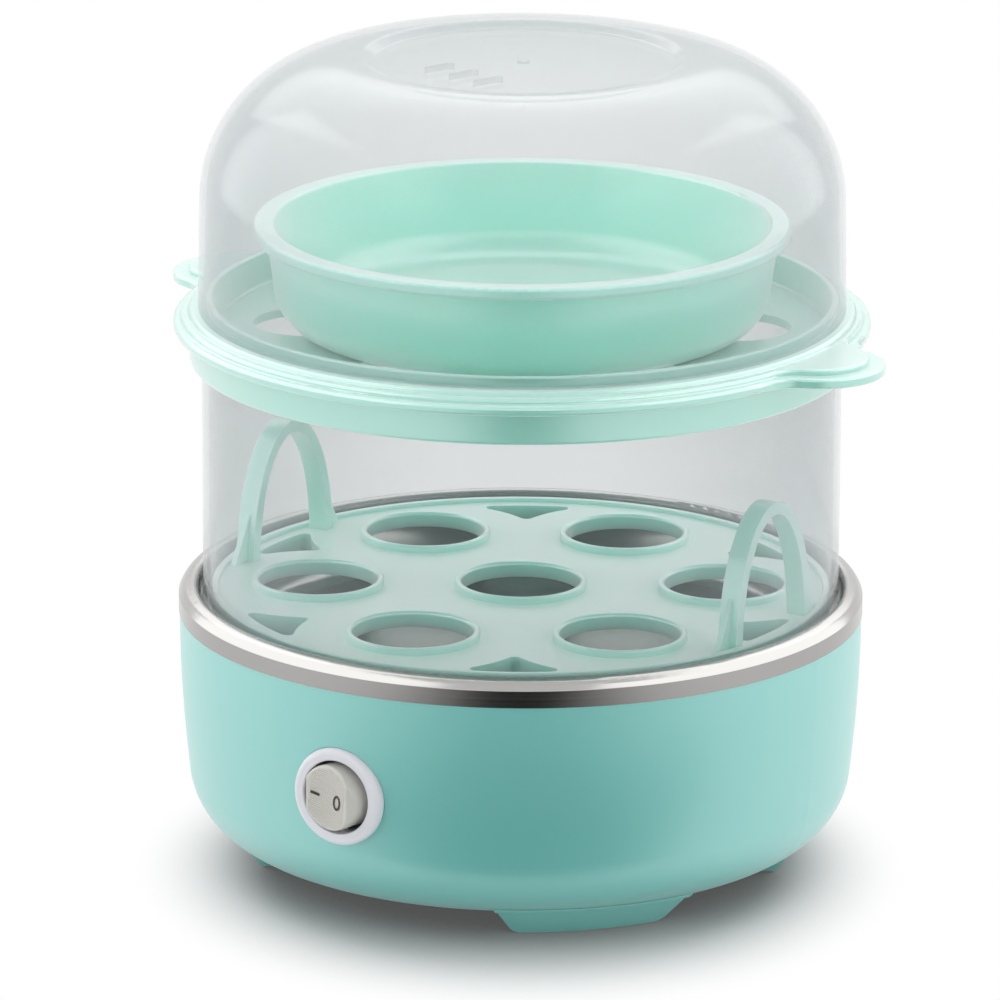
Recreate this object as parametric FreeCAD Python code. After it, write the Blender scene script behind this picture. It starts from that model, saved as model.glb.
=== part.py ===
import FreeCAD, Part
import math
import os

# Two-tier electric egg cooker. Millimetres and degrees.
# The origin is at the bottom centre, Z is up and the switch faces -Y.
# Azimuths are counted from -Y towards +X.

# Clearances
lift_fit = 0.4        # gap round each piece that lifts off
seat_fit = 0.1        # gap round pieces that are pushed or screwed together
pin_fit = 0.05        # radial gap of the rocker's pivots and plunger

# Base housing
housing_top_r = 83.1
housing_height = 56.1
housing_wall = 2.2
housing_lean = 5.6
housing_barrel_r = 345.0
housing_round = 18.0
housing_opening_r = 54.0
pad_depth = 2.1       # depth of the flat seats for switch and gland below the top radius
pad_wall = 3.4        # wall left behind those seats
pad_margin = 2.2

# Bottom cover with its feet
foot_height = 5.9
foot_rise = 2.5       # foot's outer edge above the housing's bottom
foot_inset = 7.8      # foot's outer edge inside the housing's lower corner
foot_flare = 6.8
foot_depth = 14.2
foot_top_width = 45.0
foot_bottom_width = 36.6
foot_corner = 4.0
foot_lip = 0.7
foot_lip_height = 1.4
foot_turn = -6.5      # turn of the feet's pattern from the switch
foot_spread = 53.0    # half of the angle between the two front feet
cover_thickness = 2.2
cover_overlap = 6.0
foot_hold = 2.8       # disc that reaches over a foot's inner edge
cover_rim_height = 3.0
cover_rim_wall = 1.8
cover_boss_r = 6.0
cover_boss_height = 8.0

# Screws that tie the cover to the posts under the pan
post_inset = 4.0      # screw axes inside the housing's opening
post_azimuths = (60, 180, 300)
post_r = 4.0
screw_r = 2.0
screw_length = 18.0
screw_head_r = 3.8
screw_head_height = 2.4
screw_head_recess = 3.0
screw_slot_width = 1.0
screw_slot_depth = 1.2

# Heating pan, pressed from steel sheet
pan_sheet = 0.7
pan_overhang = 0.2
pan_band_height = 4.2
pan_crown_height = 2.6
pan_crown_slope = 1.4
pan_crown_flat = 3.3
pan_crown_round = 3.0
pan_ledge_drop = 4.5
pan_ledge_width = 5.2
pan_depth = 12.3
pan_wall_slope = 4.0
pan_floor_round = 5.0
gasket_width = 1.4
gasket_height = 3.4

# Heater under the pan
heater_plate_r = 31.0
heater_plate_thickness = 4.0
tube_r = 3.4
tube_circle_r = 26.0
tube_bend_r = 8.0
tube_gap_angle = 35.0
tube_inset = 2.3
tube_end_reach = 33.0
bead_r = 4.2
bead_length = 4.0
heater_pin_r = 1.3
heater_pin_length = 5.0

# Thermostat and thermal fuse on the heater plate
thermostat_r = 8.0
thermostat_height = 9.6
thermostat_ear_reach = 14.5
thermostat_ear_width = 7.0
thermostat_ear_thickness = 0.8
small_screw_r = 1.5
small_screw_head_r = 2.2
small_screw_head_height = 1.6
small_screw_bite = 2.5
small_screw_offset = 11.5
blade_width = 4.8
blade_thickness = 0.8
thermostat_blade_length = 7.0
thermostat_blade_offset = 4.0
fuse_r = 2.0
fuse_length = 11.0
fuse_y = 13.5
fuse_pin_r = 0.5
fuse_pin_length = 6.0
clip_sheet = 0.5
clip_width = 5.0
clip_hook = 2.0
clip_wing = 6.0

# Inner leads
lead_r = 1.1
lead_bend_r = 5.0
lead_run = 7.5        # straight run before a lead's first bend
lead_drop = 5.5       # depth of a lead's loop below the thermostat's blades

# Rocker switch
switch_rise = 30.1    # switch axis above the housing's bottom
bezel_r = 12.0
bezel_thickness = 3.0
bezel_round = 1.5
switch_barrel_r = 9.9
switch_bore_r = 9.0
switch_depth = 18.0
switch_back_wall = 2.0
rocker_r = 8.0
rocker_sweep_r = 9.0
rocker_dish_r = 30.0
rocker_rise = 1.5     # middle of the rocker's face in front of the bezel
rocker_back = 2.4
rocker_wall = 1.6
rocker_edge = 0.7
rocker_half_travel = 12.0
pivot_depth = 4.0
pivot_r = 1.2
pivot_length = 1.3
stem_r = 2.7
stem_length = 6.5
stem_bore_r = 1.55
plunger_length = 5.6
spring_length = 3.6
spring_wire = 0.4
contact_length = 12.8
contact_width = 4.0
contact_thickness = 0.6
contact_rib_r = 0.5    # round rib that the contact bar rocks on
contact_half_travel = 7.2
contact_gap = 0.3
contact_standoff = 2.0
terminal_pitch = 6.0
terminal_length = 7.0
lamp_r = 1.7
lamp_length = 6.0
lamp_seat = 3.0
lamp_offset = 5.4

# Cord gland in the rear wall
gland_rise = 26.0
gland_flange_r = 8.0
gland_flange_thickness = 2.2
gland_neck_r = 5.6
gland_collar_r = 7.0
gland_collar_length = 2.0
gland_bore_r = 3.2
gland_round = 1.0

# Egg rack
rack_rise = 2.7       # top of the rack's plate above the pan's ledge
rack_plate = 2.0
rack_skirt_wall = 1.5
rack_lip_height = 1.0
rack_lip_width = 1.8
rack_egg_hole_r = 14.5
rack_egg_inset = 25.9 # axes of the outer egg holes inside the rack's edge
egg_azimuths = (0, 60, 120, 180, 240, 300)
collar_wall = 1.6
collar_height = 1.8
steam_lap = 3.75      # reach of a web's round edge past the middle between two egg holes
steam_margin = 4.9    # rim left outside the steam openings
steam_wall = 1.5
steam_wall_depth = 5.0
steam_corner = 1.6
handle_azimuths = (90, 270)
handle_half_span = 16.5
handle_height = 32.0
handle_strip = 3.0
handle_width = 5.0
gusset_width = 5.5
gusset_height = 12.0
gusset_thickness = 1.4

# Chamber ring
ring_wall = 1.6
ring_height = 68.7
ring_foot_bead = 0.8
ring_foot_height = 2.6

# Steaming tray
tray_skirt_depth = 8.0
tray_skirt_wall = 2.4
tray_roof = 5.0       # lid seat above the ring's top edge
tray_spigot_depth = 2.0
tray_floor = 2.0
tray_wall = 2.2
tray_lip_height = 2.4
tray_lip_wall = 1.5
tray_seat_margin = 2.2
tray_step_width = 2.0
tray_step_drop = 1.2
tray_edge_width = 1.8
tray_edge_drop = 1.4
tray_egg_hole_r = 13.5
tray_egg_inset = 21.7 # axes of the outer holes inside the edge of the tray's floor
tab_reach = 13.8      # lower tab's tip beyond the tray's edge
tab_round = 16.0
tab_blend = 8.0
tab_upper_reach = 11.6
tab_upper_round = 13.0
tab_edge = 0.6

# Bowl
bowl_rim_r = 64.8
bowl_height = 25.7
bowl_wall = 2.0
bowl_lip_width = 3.0
bowl_lip_height = 3.0
bowl_bottom_r = 58.5
bowl_round = 10.0

# Lid
lid_r = 78.2
lid_wall = 1.6
lid_height = 61.5
lid_draft = 1.0
lid_foot_height = 3.0
lid_shoulder = 35.3
lid_recess_r = 36.3
lid_recess_depth = 1.4
lid_ridge_slope = 2.2
lid_ridge_round = 2.8
slot_count = 3
slot_pitch = 9.0
slot_length = 8.5
slot_width = 2.5
slot_circle_r = 18.6
slot_azimuth = -18.4
gate_r = 1.5
gate_height = 0.4

# Small edge roundings
soft_edge = 0.8
fine_edge = 0.4
nose_share = 0.9      # share of a round nose's radius that its rounding takes
shortest_run = 1e-6   # shorter straight runs are left out of an outline

V = FreeCAD.Vector
ORIGIN = V(0, 0, 0)
UP = V(0, 0, 1)

# Heights worked out from the sizes above
housing_bottom_z = foot_height
housing_top_z = housing_bottom_z + housing_height
housing_shoulder_z = housing_top_z - housing_barrel_r * math.tan(math.radians(housing_lean / 2))
foot_top_z = foot_height + foot_rise
pan_crease_z = housing_top_z + pan_band_height
pan_top_z = pan_crease_z + pan_crown_height
ledge_z = pan_top_z - pan_ledge_drop
pan_floor_z = ledge_z - pan_depth
pan_under_z = pan_floor_z - pan_sheet
plate_under_z = pan_under_z - heater_plate_thickness
tube_z = plate_under_z + tube_inset - tube_r
boss_top_z = housing_bottom_z + cover_boss_height
rack_top_z = ledge_z + rack_rise
ring_top_z = ledge_z + ring_height
lid_seat_z = ring_top_z + tray_roof
tray_bottom_z = ring_top_z - tray_spigot_depth
tray_floor_z = tray_bottom_z + tray_floor
switch_z = housing_bottom_z + switch_rise
gland_z = housing_bottom_z + gland_rise

# Radii worked out from the sizes above
housing_tuck = math.tan(math.radians(housing_lean)) * (housing_shoulder_z - housing_bottom_z)
housing_corner_r = housing_top_r - housing_tuck
foot_r = housing_corner_r - foot_inset
foot_azimuths = [foot_turn + side * foot_spread + back for back in (0, 180) for side in (1, -1)]
post_circle_r = housing_opening_r - post_inset
cover_r = max(housing_opening_r + cover_overlap, foot_r - foot_depth + foot_hold)
pan_rim_r = housing_top_r + pan_overhang
pan_well_r = pan_rim_r - pan_crown_slope - pan_crown_flat
dish_r = pan_well_r - pan_ledge_width
ring_foot_r = pan_well_r - lift_fit
ring_r = ring_foot_r - ring_foot_bead
ring_bore_r = ring_r - ring_wall
rack_r = ring_bore_r - lift_fit
rack_egg_circle_r = rack_r - rack_egg_inset
handle_corner_r = rack_r - rack_lip_width - lift_fit
handle_outer_x = math.sqrt(handle_corner_r ** 2 - (handle_half_span + handle_strip / 2) ** 2)
handle_r = handle_outer_x - handle_width / 2
tray_skirt_bore_r = ring_r + lift_fit
tray_skirt_r = tray_skirt_bore_r + tray_skirt_wall
tray_spigot_r = ring_bore_r - lift_fit
tray_lip_r = lid_r - lid_wall - lift_fit
tray_floor_r = min(tray_spigot_r, tray_lip_r) - tray_wall
tray_egg_circle_r = tray_floor_r - tray_egg_inset
tray_seat_r = max(lid_r, tray_skirt_bore_r) + tray_seat_margin
tray_step_r = tray_seat_r + tray_step_width
tray_edge_r = tray_step_r + tray_edge_width

# Places along the switch's axis, which runs inwards along +Y
pad_y = housing_top_r - pad_depth
bezel_front_y = -pad_y - bezel_thickness
pivot_y = bezel_front_y + pivot_depth
switch_back_y = bezel_front_y + switch_depth
stem_end_y = pivot_y + stem_length
contact_y = switch_back_y - contact_standoff
plunger_tip_y = contact_y - contact_thickness - contact_gap


def polar(radius, azimuth, z=0.0):
    """Point at an azimuth counted from -Y towards +X."""
    angle = math.radians(azimuth)
    return V(radius * math.sin(angle), -radius * math.cos(angle), z)


def upright(point):
    """Carry an outline's (radius, height) into the XZ plane."""
    return V(point.x, 0, point.y)


def half_angle(points, i):
    """Half of the angle between the two straight runs that meet at a corner."""
    back = points[i - 1] - points[i]
    ahead = points[(i + 1) % len(points)] - points[i]
    return back.getAngle(ahead) / 2


def shared_reach(length, own, other):
    """Reach of a corner's rounding along a run that the next corner's rounding shares."""
    return own if own + other <= length else length * own / (own + other)


def rounded_edges(points, radii, closed):
    """Straight runs through the points, with a tangent arc at each corner that has a radius."""
    count = len(points)
    bends = range(count) if closed else range(1, count - 1)
    wanted = [radii[i] / math.tan(half_angle(points, i)) if i in bends else 0 for i in range(count)]
    joints = []
    for i in range(count):
        back = points[i - 1] - points[i]
        ahead = points[(i + 1) % count] - points[i]
        reach_back = shared_reach(back.Length, wanted[i], wanted[i - 1])
        reach_ahead = shared_reach(ahead.Length, wanted[i], wanted[(i + 1) % count])
        reach = min(reach_back, reach_ahead)
        if reach < shortest_run:
            joints.append((points[i], None, points[i]))
            continue
        half = half_angle(points, i)
        radius = reach * math.tan(half)
        back.normalize()
        ahead.normalize()
        middle = points[i] + (back + ahead).normalize() * (radius / math.sin(half) - radius)
        joints.append((points[i] + back * reach, middle, points[i] + ahead * reach))
    edges = []
    for i in range(count):
        enter, middle, leave = joints[i]
        if middle:
            edges.append(Part.Arc(enter, middle, leave).toShape())
        following = joints[(i + 1) % count][0]
        if (closed or i < count - 1) and leave.distanceToPoint(following) > shortest_run:
            edges.append(Part.LineSegment(leave, following).toShape())
    return edges


def outline_face(corners, place):
    """Face inside an outline of (a, b) or (a, b, radius) corners, set in space by place."""
    points = [place(V(corner[0], corner[1], 0)) for corner in corners]
    radii = [corner[2] if len(corner) > 2 else 0 for corner in corners]
    return Part.Face(Part.Wire(rounded_edges(points, radii, True)))


def turned(corners):
    """Solid of revolution about Z from an outline of (radius, height) corners."""
    return outline_face(corners, upright).revolve(ORIGIN, UP, 360)


def offset_path(path, distance):
    """Path moved to its left by a distance, with its corner radii following."""
    points = [V(corner[0], corner[1], 0) for corner in path]
    runs = [(points[i + 1] - points[i]).normalize() for i in range(len(points) - 1)]
    normals = [V(-run.y, run.x, 0) for run in runs]
    moved = []
    for i, point in enumerate(points):
        before = normals[max(i - 1, 0)]
        after = normals[min(i, len(normals) - 1)]
        shift = (before + after) * (distance / (1 + before.dot(after)))
        radius = path[i][2] if len(path[i]) > 2 else 0
        if radius:
            turns_left = runs[i - 1].cross(runs[i]).z > 0
            radius = max(radius - distance, 0) if turns_left else radius + distance
        moved.append((point.x + shift.x, point.y + shift.y, radius))
    return moved


def sheet(path, thickness):
    """Turned shell whose outer face follows a path and whose wall lies to the path's left."""
    return turned(path + offset_path(path, thickness)[::-1])


def rod(radius, start, end):
    """Round bar between two points."""
    return Part.makeCylinder(radius, start.distanceToPoint(end), start, end - start)


def block(size, centre):
    """Box of a size about its centre."""
    return Part.makeBox(size.x, size.y, size.z, centre - size * 0.5)


def spun(shape, azimuth):
    """Copy of a shape turned about Z."""
    copy = shape.copy()
    copy.rotate(ORIGIN, UP, azimuth)
    return copy


def fused(shapes):
    """One solid from shapes that meet."""
    return shapes[0].multiFuse(shapes[1:]).removeSplitter()


def swept(edges, radius):
    """Round bar along a tangent path."""
    path = Part.Wire(edges)
    start = path.OrderedVertexes[0].Point
    heading = path.OrderedEdges[0].tangentAt(path.OrderedEdges[0].FirstParameter)
    section = Part.Wire(Part.makeCircle(radius, start, heading))
    return path.makePipeShell([section], True, False)


def lead(points):
    """Insulated lead through hand-set points."""
    radii = [0] + [lead_bend_r] * (len(points) - 2) + [0]
    return swept(rounded_edges(points, radii, False), lead_r)


def housing_path():
    """Outer face of the base housing, from its bottom opening to its top edge."""
    return [
        (housing_opening_r, housing_bottom_z),
        (housing_corner_r, housing_bottom_z, housing_round),
        (housing_top_r, housing_shoulder_z, housing_barrel_r),
        (housing_top_r, housing_top_z),
    ]


def housing_filled():
    """The housing's outer form with nothing taken out of it."""
    return turned([(0, housing_bottom_z)] + housing_path() + [(0, housing_top_z)])


def wall_pad(radius, z, facing):
    """Thickening behind a flat seat in the housing's wall, where facing is +1 or -1 along Y."""
    inner = V(0, facing * (pad_y - pad_wall), z)
    outer = V(0, facing * (housing_top_r + pad_margin), z)
    return rod(radius + pad_margin, inner, outer).common(housing_filled())


def wall_seat(radius, hole_r, z, facing):
    """Room for a flange on its flat seat and for the neck behind it."""
    inner = V(0, facing * (pad_y - 2 * pad_wall), z)
    seat = V(0, facing * pad_y, z)
    outer = V(0, facing * (housing_top_r + pad_margin), z)
    return rod(radius, seat, outer).fuse(rod(hole_r, inner, outer))


def base_housing():
    shell = sheet(housing_path(), housing_wall)
    shell = fused([shell, wall_pad(bezel_r, switch_z, -1), wall_pad(gland_flange_r, gland_z, 1)])
    shell = shell.cut(wall_seat(bezel_r + seat_fit, switch_barrel_r + seat_fit, switch_z, -1))
    return shell.cut(wall_seat(gland_flange_r + seat_fit, gland_neck_r + seat_fit, gland_z, 1))


def foot(z_low, grow, corner):
    """One foot at azimuth 0 from a height upwards: a tapered tab cut from a flared ring."""
    slope = (foot_top_width - foot_bottom_width) / 2 / foot_height
    half_low = foot_bottom_width / 2 + slope * z_low + grow
    half_high = foot_bottom_width / 2 + slope * foot_top_z + grow
    low_r = foot_r - foot_flare * (1 - z_low / foot_top_z) + grow
    corners = [
        (-half_high, foot_top_z),
        (-half_low, z_low, corner),
        (half_low, z_low, corner),
        (half_high, foot_top_z),
    ]
    front = outline_face(corners, lambda p: V(p.x, -foot_r - pad_margin, p.y))
    ring = turned([
        (foot_r - foot_depth, z_low, fine_edge),
        (low_r, z_low, fine_edge),
        (foot_r + grow, foot_top_z, fine_edge),
        (foot_r - foot_depth, foot_top_z),
    ])
    return front.extrude(V(0, foot_r, 0)).common(ring)


def bottom_cover():
    top_z = housing_bottom_z
    low_z = top_z - cover_thickness
    rim_r = housing_opening_r - lift_fit
    disc = turned([
        (0, low_z),
        (cover_r, low_z, soft_edge),
        (cover_r, top_z),
        (rim_r, top_z),
        (rim_r, top_z + cover_rim_height),
        (rim_r - cover_rim_wall, top_z + cover_rim_height),
        (rim_r - cover_rim_wall, top_z),
        (0, top_z),
    ])
    pieces = [disc]
    lower = foot(0, 0, foot_corner)
    lip = foot(foot_top_z - foot_lip_height, foot_lip, fine_edge)
    for azimuth in foot_azimuths:
        pieces += [spun(lower, azimuth), spun(lip, azimuth)]
    for azimuth in post_azimuths:
        base = polar(post_circle_r, azimuth, low_z)
        pieces.append(rod(cover_boss_r, base, polar(post_circle_r, azimuth, boss_top_z)))
    cover = fused(pieces)
    room = turned([(housing_opening_r, housing_top_z)] + offset_path(housing_path(), -seat_fit))
    cover = cover.cut(room)
    for azimuth in post_azimuths:
        low = polar(post_circle_r, azimuth, low_z - cover_thickness)
        seat = polar(post_circle_r, azimuth, low_z + screw_head_recess)
        top = polar(post_circle_r, azimuth, boss_top_z + cover_thickness)
        cover = cover.cut(rod(screw_head_r + lift_fit, low, seat))
        cover = cover.cut(rod(screw_r + seat_fit, seat, top))
    return cover


def cover_screws():
    seat_z = housing_bottom_z - cover_thickness + screw_head_recess
    screws = []
    for azimuth in post_azimuths:
        head_low = polar(post_circle_r, azimuth, seat_z - screw_head_height)
        seat = polar(post_circle_r, azimuth, seat_z)
        tip = polar(post_circle_r, azimuth, seat_z + screw_length)
        screw = rod(screw_head_r, head_low, seat).fuse(rod(screw_r, head_low, tip)).removeSplitter()
        slot_size = V(2 * screw_head_r + lift_fit, screw_slot_width, 2 * screw_slot_depth)
        screws.append(screw.cut(block(slot_size, head_low)))
    return screws


def pan_posts():
    seat_z = housing_bottom_z - cover_thickness + screw_head_recess
    bore_top_z = seat_z + screw_length + lift_fit
    posts = []
    for azimuth in post_azimuths:
        low = polar(post_circle_r, azimuth, boss_top_z)
        top = polar(post_circle_r, azimuth, pan_under_z)
        bore_top = polar(post_circle_r, azimuth, bore_top_z)
        posts.append(rod(post_r, low, top).cut(rod(screw_r + seat_fit, low, bore_top)))
    return posts


def heating_pan():
    return sheet([
        (pan_rim_r, housing_top_z),
        (pan_rim_r, pan_crease_z, fine_edge),
        (pan_rim_r - pan_crown_slope, pan_top_z, pan_crown_round),
        (pan_well_r, pan_top_z, soft_edge + pan_sheet),
        (pan_well_r, ledge_z, soft_edge),
        (dish_r, ledge_z, soft_edge + pan_sheet),
        (dish_r - pan_wall_slope, pan_floor_z, pan_floor_round),
        (0, pan_floor_z),
    ], pan_sheet)


def pan_gasket():
    outer_r = pan_rim_r - pan_sheet - seat_fit
    return turned([
        (outer_r - gasket_width, housing_top_z),
        (outer_r, housing_top_z),
        (outer_r, housing_top_z + gasket_height, fine_edge),
        (outer_r - gasket_width, housing_top_z + gasket_height, fine_edge),
    ])


def tube_path(reach):
    """Ring of the heating tube with both ends bent to run along -Y."""
    gap = math.radians(tube_gap_angle)
    bend_r = tube_circle_r + tube_bend_r
    edges = []
    for side in (1, -1):
        centre = V(side * bend_r * math.sin(gap), -bend_r * math.cos(gap), tube_z)
        inner = centre - V(side * tube_bend_r, 0, 0)
        outer = V(side * tube_circle_r * math.sin(gap), -tube_circle_r * math.cos(gap), tube_z)
        middle = centre + ((inner + outer) * 0.5 - centre).normalize() * tube_bend_r
        end = V(inner.x, -reach, tube_z)
        edges.append((end, inner, middle, outer))
    end, inner, middle, outer = edges[0]
    far_end, far_inner, far_middle, far_outer = edges[1]
    back = V(0, tube_circle_r, tube_z)
    return [
        Part.LineSegment(end, inner).toShape(),
        Part.Arc(inner, middle, outer).toShape(),
        Part.Arc(outer, back, far_outer).toShape(),
        Part.Arc(far_outer, far_middle, far_inner).toShape(),
        Part.LineSegment(far_inner, far_end).toShape(),
    ]


def tube_end_x():
    """Distance of the tube's straight ends from the YZ plane."""
    gap = math.radians(tube_gap_angle)
    return (tube_circle_r + tube_bend_r) * math.sin(gap) - tube_bend_r


def heating_tube():
    return swept(tube_path(tube_end_reach), tube_r)


def heater_plate():
    plate = turned([
        (0, plate_under_z),
        (heater_plate_r, plate_under_z, soft_edge),
        (heater_plate_r, pan_under_z),
        (0, pan_under_z),
    ])
    plate = plate.cut(swept(tube_path(tube_end_reach + heater_plate_r), tube_r + seat_fit))
    for place in small_screw_places():
        plate = plate.cut(rod(small_screw_r + seat_fit, place, place + UP * (small_screw_bite + lift_fit)))
    return plate


def heater_beads():
    beads = []
    for side in (1, -1):
        start = V(side * tube_end_x(), -tube_end_reach, tube_z)
        beads.append(rod(bead_r, start, start - V(0, bead_length, 0)))
    return beads


def heater_pins():
    pins = []
    for side in (1, -1):
        start = V(side * tube_end_x(), -tube_end_reach - bead_length, tube_z)
        pins.append(rod(heater_pin_r, start, start - V(0, heater_pin_length, 0)))
    return pins


def thermostat_screw_places():
    return [V(side * small_screw_offset, 0, plate_under_z) for side in (1, -1)]


def fuse_screw_place():
    return V(0, fuse_y + fuse_r + clip_sheet + clip_wing / 2 + seat_fit, plate_under_z)


def small_screw_places():
    return thermostat_screw_places() + [fuse_screw_place()]


def small_screw(place, grip):
    """Small screw into the heater plate through a sheet of thickness grip."""
    seat = place - UP * grip
    head = rod(small_screw_head_r, seat - UP * small_screw_head_height, seat)
    return head.fuse(rod(small_screw_r, seat - UP * small_screw_head_height, place + UP * small_screw_bite))


def thermostat():
    ear_z = plate_under_z - thermostat_ear_thickness
    ear_size = V(2 * thermostat_ear_reach, thermostat_ear_width, thermostat_ear_thickness)
    ear = block(ear_size, V(0, 0, plate_under_z - thermostat_ear_thickness / 2))
    body = turned([
        (0, ear_z - thermostat_height),
        (thermostat_r, ear_z - thermostat_height, soft_edge),
        (thermostat_r, plate_under_z),
        (0, plate_under_z),
    ])
    shape = fused([body, ear])
    for place in thermostat_screw_places():
        shape = shape.cut(rod(small_screw_r + seat_fit, place - UP * thermostat_height, place))
    return shape


def thermostat_low_z():
    return plate_under_z - thermostat_ear_thickness - thermostat_height


def thermostat_terminals():
    size = V(blade_thickness, blade_width, thermostat_blade_length)
    middle_z = thermostat_low_z() - thermostat_blade_length / 2
    return [block(size, V(side * thermostat_blade_offset, 0, middle_z)) for side in (1, -1)]


def thermostat_screws():
    return [small_screw(place, thermostat_ear_thickness) for place in thermostat_screw_places()]


def fuse_z():
    return plate_under_z - fuse_r - seat_fit


def thermal_fuse():
    half = V(fuse_length / 2, 0, 0)
    pin = V(fuse_pin_length, 0, 0)
    centre = V(0, fuse_y, fuse_z())
    body = rod(fuse_r, centre - half, centre + half)
    return fused([body, rod(fuse_pin_r, centre - half - pin, centre + half + pin)])


def fuse_clip():
    inner_r = fuse_r + seat_fit
    outer_r = inner_r + clip_sheet
    half = V(clip_width / 2, 0, 0)
    centre = V(0, fuse_y, fuse_z())
    rise = plate_under_z - centre.z
    outer = rod(outer_r, centre - half, centre + half)
    outer = outer.fuse(block(V(clip_width, 2 * outer_r, rise), centre + UP * (rise / 2)))
    wing_size = V(clip_width, clip_hook + 2 * outer_r + clip_wing, clip_sheet)
    wing_y = fuse_y + (clip_wing - clip_hook) / 2
    wings = block(wing_size, V(0, wing_y, plate_under_z - clip_sheet / 2))
    clip = fused([outer, wings])
    clip = clip.cut(rod(inner_r, centre - half * 2, centre + half * 2))
    clip = clip.cut(block(V(2 * clip_width, 2 * inner_r, 2 * rise), centre + UP * rise))
    place = fuse_screw_place()
    return clip.cut(rod(small_screw_r + seat_fit, place - UP * rise, place + UP * lift_fit))


def fuse_screw():
    return small_screw(fuse_screw_place(), clip_sheet)


def terminal_places():
    """Middles of the switch's outer blade ends: load, common and lamp."""
    end_y = switch_back_y + terminal_length
    return [V(side * terminal_pitch, end_y, switch_z) for side in (1, 0, -1)]


def switch_lead():
    start = V(tube_end_x(), -tube_end_reach - bead_length - heater_pin_length, tube_z)
    end = terminal_places()[0]
    step = V(0, (start.y - end.y) / 3, 0)
    return lead([start, start - step, end + step, end])


def thermostat_lead():
    start = V(-tube_end_x(), -tube_end_reach - bead_length - heater_pin_length, tube_z)
    end = V(-thermostat_blade_offset, 0, thermostat_low_z() - thermostat_blade_length)
    turn = start - V(0, lead_run, 0)
    low_z = end.z - lead_drop
    return lead([start, turn, V(turn.x, turn.y, low_z), V(end.x, end.y, low_z), end])


def fuse_lead():
    start = V(thermostat_blade_offset, 0, thermostat_low_z() - thermostat_blade_length)
    end = V(fuse_length / 2 + fuse_pin_length, fuse_y, fuse_z())
    turn = end + V(lead_run, 0, 0)
    low_z = start.z - lead_drop
    return lead([start, V(start.x, start.y, low_z), V(turn.x, turn.y, low_z), turn, end])


def along_switch(radius, y_start, y_end):
    """Round bar along the switch's axis."""
    return rod(radius, V(0, y_start, switch_z), V(0, y_end, switch_z))


def switch_turned(corners):
    """Solid turned about the switch's axis from (radius, y) corners."""
    face = outline_face(corners, lambda p: V(p.x, p.y, switch_z))
    return face.revolve(V(0, 0, switch_z), V(0, 1, 0), 360)


def blade_slot(place):
    """Slot through the switch's back wall for one blade."""
    size = V(blade_thickness + 2 * pin_fit, switch_back_wall + 2 * seat_fit, blade_width + 2 * pin_fit)
    return block(size, V(place.x, switch_back_y + switch_back_wall / 2, place.z))


def switch_body():
    back_y = switch_back_y + switch_back_wall
    body = switch_turned([
        (switch_bore_r, bezel_front_y, fine_edge),
        (bezel_r, bezel_front_y, bezel_round),
        (bezel_r, -pad_y, fine_edge),
        (switch_barrel_r, -pad_y),
        (switch_barrel_r, back_y),
        (0, back_y),
        (0, switch_back_y),
        (switch_bore_r, switch_back_y),
    ])
    lamp_place = V(0, switch_back_y, switch_z + lamp_offset)
    body = fused([body, rod(lamp_r, lamp_place - V(0, lamp_seat, 0), lamp_place)])
    pivot_half = UP * (rocker_r + pivot_length + pin_fit)
    pivot = V(0, pivot_y, switch_z)
    body = body.cut(rod(pivot_r + pin_fit, pivot - pivot_half, pivot + pivot_half))
    for place in terminal_places():
        body = body.cut(blade_slot(place))
    return body


def switch_terminals():
    """Load, common and lamp blades, each reaching as far in as its contact needs."""
    half_travel = math.radians(contact_half_travel)
    load_y = contact_y + terminal_pitch * math.sin(half_travel) + seat_fit
    inner_ends = [load_y, contact_y + contact_rib_r + seat_fit, switch_back_y]
    blades = []
    for place, inner_y in zip(terminal_places(), inner_ends):
        size = V(blade_thickness, place.y - inner_y, blade_width)
        blades.append(block(size, V(place.x, (place.y + inner_y) / 2, place.z)))
    return blades


def switch_lamp():
    end_y = switch_back_y - lamp_seat
    start_y = end_y - lamp_length
    face = outline_face([
        (0, start_y),
        (lamp_r, start_y, nose_share * lamp_r),
        (lamp_r, end_y, fine_edge),
        (0, end_y),
    ], lambda p: V(p.x, p.y, switch_z + lamp_offset))
    return face.revolve(V(0, 0, switch_z + lamp_offset), V(0, 1, 0), 360)


def at_rest(shape, pivot, angle):
    """Shape turned about a vertical axis to where it stands with the switch on."""
    shape.rotate(pivot, UP, angle)
    return shape


def switch_rocker():
    pivot = V(0, pivot_y, switch_z)
    face_y = bezel_front_y - rocker_rise
    back_y = pivot_y + rocker_back
    button = along_switch(rocker_r, face_y - rocker_r, back_y)
    dish_centre = V(0, face_y - rocker_dish_r, switch_z)
    reach = UP * (2 * rocker_r)
    button = button.cut(rod(rocker_dish_r, dish_centre - reach, dish_centre + reach))
    button = button.common(rod(rocker_sweep_r, pivot - reach, pivot + reach))
    rim = [edge for edge in button.Edges if edge.BoundBox.YMax < pivot_y - rocker_back / 2]
    button = button.makeFillet(rocker_edge, rim)
    button = button.cut(along_switch(rocker_r - rocker_wall, face_y + rocker_wall, back_y))
    button = button.fuse(along_switch(stem_r, face_y + rocker_wall / 2, stem_end_y))
    pivot_half = UP * (rocker_r + pivot_length)
    for side in (1, -1):
        inner = pivot + UP * (side * (rocker_r - rocker_wall))
        button = button.fuse(rod(pivot_r, inner, pivot + pivot_half * side))
    button = button.cut(along_switch(stem_bore_r, plunger_start_y() - spring_length, stem_end_y))
    return at_rest(button.removeSplitter(), pivot, -rocker_half_travel)


def plunger_start_y():
    return plunger_tip_y - plunger_length


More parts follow.
